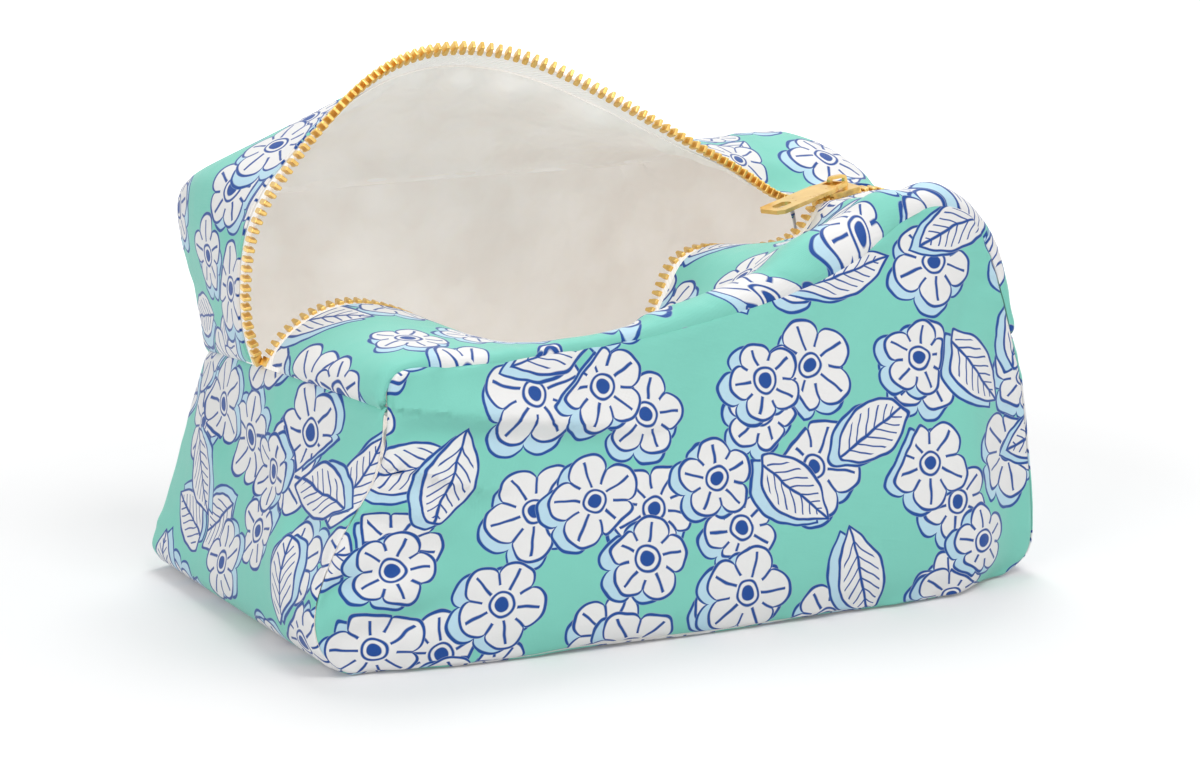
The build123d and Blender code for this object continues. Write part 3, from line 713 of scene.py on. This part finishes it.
stations = 300                 # cuts across the zip top
cloth_rows, satin_rows, tape_rows = 70, 60, 14
cloth_from, satin_from, tape_from, tape_to = 7.5, 10.5, 2.3, 13     # from the zip's middle line
crowns = {1: (0, 2, 7, 7, 4, 2, 2, 5, 9, 9, 0), -1: (0, 1, 0.5, 4.5, 8, 9.5, 9.5, 9.5, 5, 3, 0)}
crown_place = {1: 1.4, -1: 5.0}


def top_frame(side):
    """Where each cut across the zip top starts, how it lies, and how far it reaches."""
    loop, mark = loops[side], marks[side][3]
    u = np.linspace(0, 1, stations)
    start = even(rows[side], u)
    rim = even(loop[mark:][::-1], u)
    run = np.gradient(start, axis=0)
    run /= np.linalg.norm(run, axis=1, keepdims=True)
    chord = rim - start
    reach = np.linalg.norm(chord, axis=1)
    chord /= reach[:, None]
    up = np.cross(run, chord) * side
    up /= np.linalg.norm(up, axis=1, keepdims=True)
    lean = chord + (np.array([0, side, 0]) - chord) * soft_step((u - 0.66) / 0.09)[:, None]
    lean = np.arctan2((lean * up).sum(1), (lean * chord).sum(1))
    return u, start, chord, up, reach, lean


def top_grid(side, first, last, count, pull=0.5):
    """Points of the zip top between two distances from the zip's middle line."""
    u, start, chord, up, reach, lean = top_frame(side)
    shares = spread(count, pull)
    end = reach if last is None else np.full(stations, float(last))
    distance = first + (end - first)[:, None] * shares[None]
    share = np.clip(distance / reach[:, None], 0, 1)
    crown = reading(crowns[side], u)[:, None] * np.sin(np.pi * share ** crown_place[side])
    near = np.stack([np.cos(lean)[:, None] * distance, np.sin(lean)[:, None] * distance], -1)
    far = np.stack([distance, crown], -1)
    flat = near + (far - near) * soft_step((distance - 6) / 18)[..., None]
    grid = start[:, None] + flat[..., :1] * chord[:, None] + flat[..., 1:] * up[:, None]
    for edge, end_side in (("u0", -1), ("u1", 1)):
        row = left_down if end_side < 0 else right_up
        pick = 0 if end_side < 0 else -1
        corner = [np.array([row[k][pick][0], k * seam_y, row[k][pick][1]]) for k in (-1, 0, 1)]
        t = side * share[pick][:, None]
        bow = (corner[1] + (corner[2] - corner[0]) * (t / 2)
               + ((corner[2] + corner[0]) * 0.5 - corner[1]) * t**2)
        gone = from_edge(grid, edge)[0]
        grid = grid + np.exp(-(gone / 14) ** 2)[..., None] * (bow - grid[pick])[None]
    return grid, distance


def top_pieces(name, side, grid, places, over, under, material, node, slot, body):
    """The left and right parts of a strip, cut at split_x."""
    beyond = np.linspace(0, 1, stations) > 0.12
    cut = int(np.argmin(abs(grid[:, 0, 0] - split_x[side]) + 1e3 * ~beyond))
    way = outward(grid)
    for label, part in (("left", slice(None, cut + 1)), ("right", slice(cut, None))):
        layer(name + "_" + label, grid[part], over, under, material, node, slot, places[part],
              body=body, ends=ends[side, label], way=way[part])


def zip_length(side):
    return np.linalg.norm(np.diff(rows[side], axis=0), axis=1).sum()


def top_places(side, distance):
    """Where each point of a strip lies along the zip and away from it, in millimetres."""
    along = np.linspace(0, zip_length(side), stations)[:, None]
    return np.stack([np.repeat(along, distance.shape[1], 1), distance], -1)


def tuck_ends(points, depth, reach):
    """Tucks the two short ends of a strip into the seams there."""
    points = tuck(points, "u0", (1, 0, 0), depth, reach)
    return tuck(points, "u1", (-1, 0, 0), depth, reach)


for side, name in ((-1, "front"), (1, "back")):
    body = name + "_flap"
    grid, distance = top_grid(side, cloth_from, None, cloth_rows)
    places = top_places(side, side * distance) + np.array([400 * side, 1200])
    grid = gather(grid, "v1", 12, 0.7, 9, seed=side + 1.0)
    grid = gather(grid, "v0", 9, 0.35, 10, seed=side + 5.0)
    cloth = tuck_ends(tuck(grid, "v1", (0, -side, -0.9), 3.0, 6), 3.0, 6)
    top_pieces("top_%s_cloth" % name, side, cloth, places, 1.4, -0.6, printed,
               "top_%s_panel" % name, "printed_cloth", body)
    grid, distance = top_grid(side, satin_from, None, satin_rows)
    grid = gather(grid, "v0", 23, 3.2 + 3.2 * side, 17, seed=side + 3.0, hold=9, inwards=True)
    grid = gather(grid, "v1", 21, 1.4 + 1.0 * side, 14, seed=side + 8.0, inwards=True)
    grid = tuck_ends(tuck(grid, "v1", (0, -side, -0.75), 6.5, 9), 5.0, 7)
    top_pieces("top_%s_satin" % name, side, grid, top_places(side, distance), -0.6, 1.1, satin,
               "top_%s_lining" % name, "satin_lining", body)
    grid, distance = top_grid(side, tape_from, tape_to, tape_rows)
    top_pieces(name + "_woven_tape", side, grid, top_places(side, distance), 0.3, 0.3, tape_white,
               name + "_tape", "zip_tape", body)


# Teeth: stamped brass, polished pale gold and a little duller and darker in patches. Each
# is clamped on the edge of its tape, with a narrow head that fits between two teeth of the
# other row. The rows stand half a pitch apart.
tooth_pitch, first_tooth = 3.15, 4.6
brass, tree = new_material("polished_pale_brass")
place = add(tree, "ShaderNodeTexCoord").outputs["Object"]
wear = add(tree, "ShaderNodeTexNoise", {"Vector": place, "Scale": 260, "Detail": 4}).outputs["Fac"]
tone = add(tree, "ShaderNodeMix", {"Factor": wear, 6: colour("#DCAA48"), 7: colour("#F7DA92")},
           data_type="RGBA").outputs[2]
gloss = add(tree, "ShaderNodeMapRange", {0: wear, 3: 0.2, 4: 0.42})
dents = add(tree, "ShaderNodeBump", {"Height": wear, "Distance": 0.00006})
finish_material(tree, add(tree, "ShaderNodeBsdfPrincipled", {
    "Base Color": tone, "Metallic": 1, "Roughness": gloss, "Normal": dents}))


def tooth_shape():
    """Corners and faces of one tooth: x out from the middle line, y up, z along."""
    outline = [(-1.1, 0.5), (-0.75, 0.66), (0.2, 0.7), (0.9, 0.82), (1.6, 0.95), (3.1, 0.95),
               (3.5, 0.75)]
    levels = [(-1.4, 0.72), (-1.15, 1), (1.15, 1), (1.4, 0.72)]
    corners, faces = [], []
    for y, size in levels:
        ring = [(x + (0.25 if size < 1 else 0) * (1 if x < 0 else -0.5), w * size) for x, w in outline]
        ring = [(x, w) for x, w in ring] + [(x, -w) for x, w in ring[::-1]]
        corners += [(x, y, w) for x, w in ring]
    count = 2 * len(outline)
    for k in range(len(levels) - 1):
        for i in range(count):
            j = (i + 1) % count
            faces.append((k * count + i, k * count + j, (k + 1) * count + j, (k + 1) * count + i))
    faces.append(tuple(range(count))[::-1])
    faces.append(tuple(range((len(levels) - 1) * count, len(levels) * count)))
    return np.array(corners), faces


corners_of_tooth, faces_of_tooth = tooth_shape()
for side, name in ((-1, "front"), (1, "back")):
    u, start, chord, up, reach, lean = top_frame(side)
    near = np.cos(lean)[:, None] * chord + np.sin(lean)[:, None] * up
    length = zip_length(side)
    shift = tooth_pitch / 2 if side < 0 else 0
    places = np.arange(first_tooth + shift, length - first_tooth, tooth_pitch)
    halves = {"left": ([], []), "right": ([], [])}
    for gone in places:
        share = 1 - gone / length
        at = np.array([np.interp(share, u, start[:, k]) for k in range(3)])
        ahead = np.array([np.interp(share + 0.004, u, start[:, k]) for k in range(3)])
        run = (ahead - at) / np.linalg.norm(ahead - at)
        out = np.array([np.interp(share, u, near[:, k]) for k in range(3)])
        out -= run * (out @ run)
        out /= np.linalg.norm(out)
        rise = np.cross(run, out) * side
        spots = at + corners_of_tooth @ np.array([out, rise, run])
        label = "left" if at[0] < split_x[side] and share < 0.6 else "right"
        made, faces = halves[label]
        base_index = sum(len(m) for m in made)
        made.append(spots)
        faces += [tuple(i + base_index for i in f) for f in faces_of_tooth]
    for label, (made, faces) in halves.items():
        mesh = bpy.data.meshes.new("%s_brass_teeth_%s" % (name, label))
        mesh.from_pydata((np.concatenate(made) / 1000).tolist(), [], faces)
        mesh.validate()
        mesh.polygons.foreach_set("use_smooth", [False] * len(mesh.polygons))
        mesh.materials.append(brass)
        row = bpy.data.objects.new(mesh.name, mesh)
        bpy.context.collection.objects.link(row)
        bevel = row.modifiers.new("worn_edges", "BEVEL")
        bevel.width = 0.00018
        bevel.segments = 2
        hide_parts(name + "_teeth")
        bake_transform(row)

# Slider, puller and stops: the same brass, cast and stamped. They are rigid and wholly
# modelled as solids, so those stay as they are and only take the brass finish.
for name in ("slider_body", "puller", "top_stops", "bottom_stop"):
    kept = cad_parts[name]
    kept.data.materials.clear()
    kept.data.materials.append(brass)
